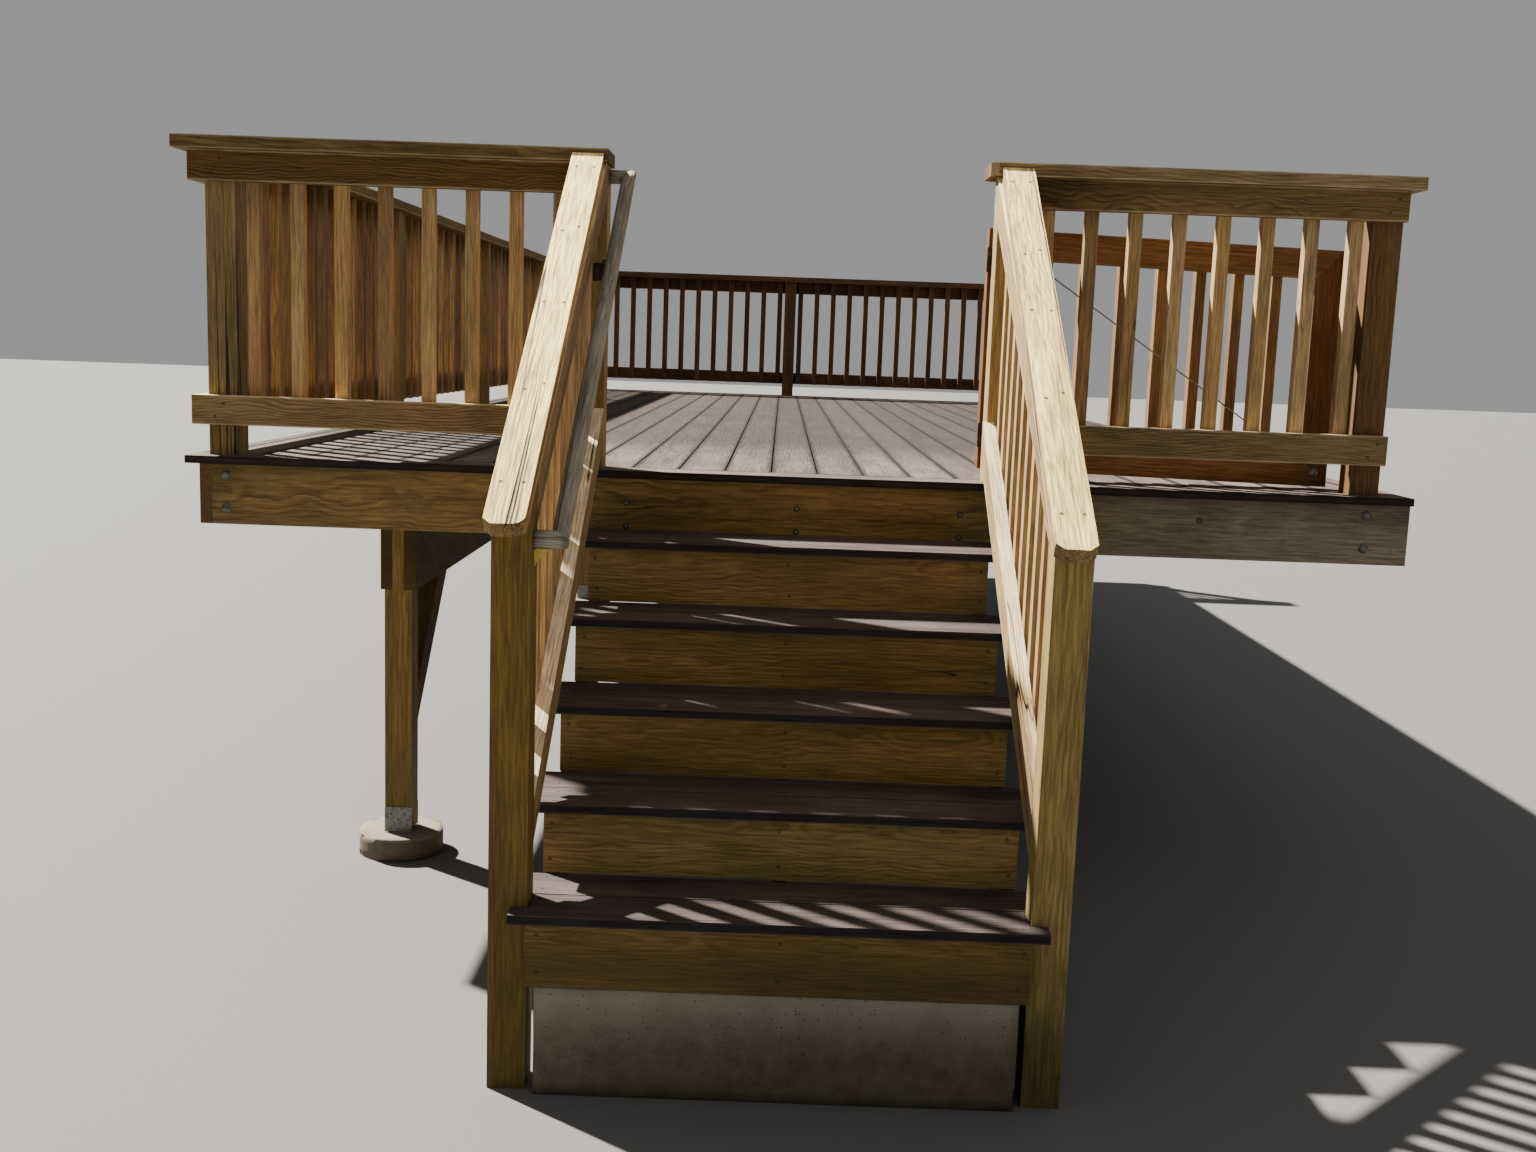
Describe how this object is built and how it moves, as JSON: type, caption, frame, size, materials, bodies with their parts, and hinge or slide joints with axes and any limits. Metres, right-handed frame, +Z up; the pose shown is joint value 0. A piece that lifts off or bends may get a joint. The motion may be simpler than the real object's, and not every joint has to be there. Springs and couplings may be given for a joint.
{
  "type": "wooden deck stairs",
  "caption": "Raised wooden deck with a straight stair flight, baluster railings with flat caps, newels, handrail and a swing gate at the stair head.",
  "frame": {"origin": "middle of the wall ledger's back face", "axes": "+Z up, +X towards the wall, +Y from the stairs into the deck"},
  "size_m": [3.713, 9.3682, 2.271],
  "materials": {
    "pressure_treated_wood": "weathered",
    "composite_board": "matte",
    "stained_wood": "matte",
    "weathered_wood": "weathered",
    "gate_wood": "matte",
    "concrete": "rough",
    "galvanised_steel": "galvanised",
    "black_iron": "satin",
    "dark_bracket": "satin"
  },
  "bodies": {
    "deck": {"end_rims": "pressure_treated_wood", "side_band": "pressure_treated_wood", "house_ledger": "pressure_treated_wood", "joists": "pressure_treated_wood", "stair_header": "pressure_treated_wood", "beam_plies": "pressure_treated_wood", "beam_posts": "pressure_treated_wood", "knee_braces": "pressure_treated_wood", "post_bases": "galvanised_steel", "piers": "concrete", "stair_footing": "concrete", "deck_boards": "composite_board", "deck_borders": "composite_board", "stringers": "pressure_treated_wood", "risers": "pressure_treated_wood", "treads": "composite_board", "bottom_tread": "composite_board", "lower_newels": "pressure_treated_wood", "upper_newels": "pressure_treated_wood", "rail_posts": "pressure_treated_wood", "stair_caps": "pressure_treated_wood", "stair_rails": "pressure_treated_wood", "stair_balusters": "pressure_treated_wood", "handrail": "weathered_wood", "handrail_brackets": "dark_bracket", "front_caps": "pressure_treated_wood", "side_cap": "pressure_treated_wood", "back_cap": "stained_wood", "front_rails": "pressure_treated_wood", "side_rails": "pressure_treated_wood", "back_rails": "stained_wood", "front_balusters": "pressure_treated_wood", "side_balusters": "pressure_treated_wood", "back_balusters": "stained_wood", "carriage_bolts": "galvanised_steel", "hinge_newel_leaves": "black_iron", "hinge_pins": "black_iron"},
    "gate": {"gate_stiles": "gate_wood", "gate_rails": "gate_wood", "gate_balusters": "gate_wood", "gate_cable": "galvanised_steel", "hinge_gate_leaves": "black_iron"}
  },
  "joints": [
    {"name": "gate_hinge", "type": "hinge", "parent": "deck", "child": "gate", "pos_m": [-1.29, -3.8265, 0.415], "axis": [0, 0, 1], "range_deg": [0, 176]}
  ]
}
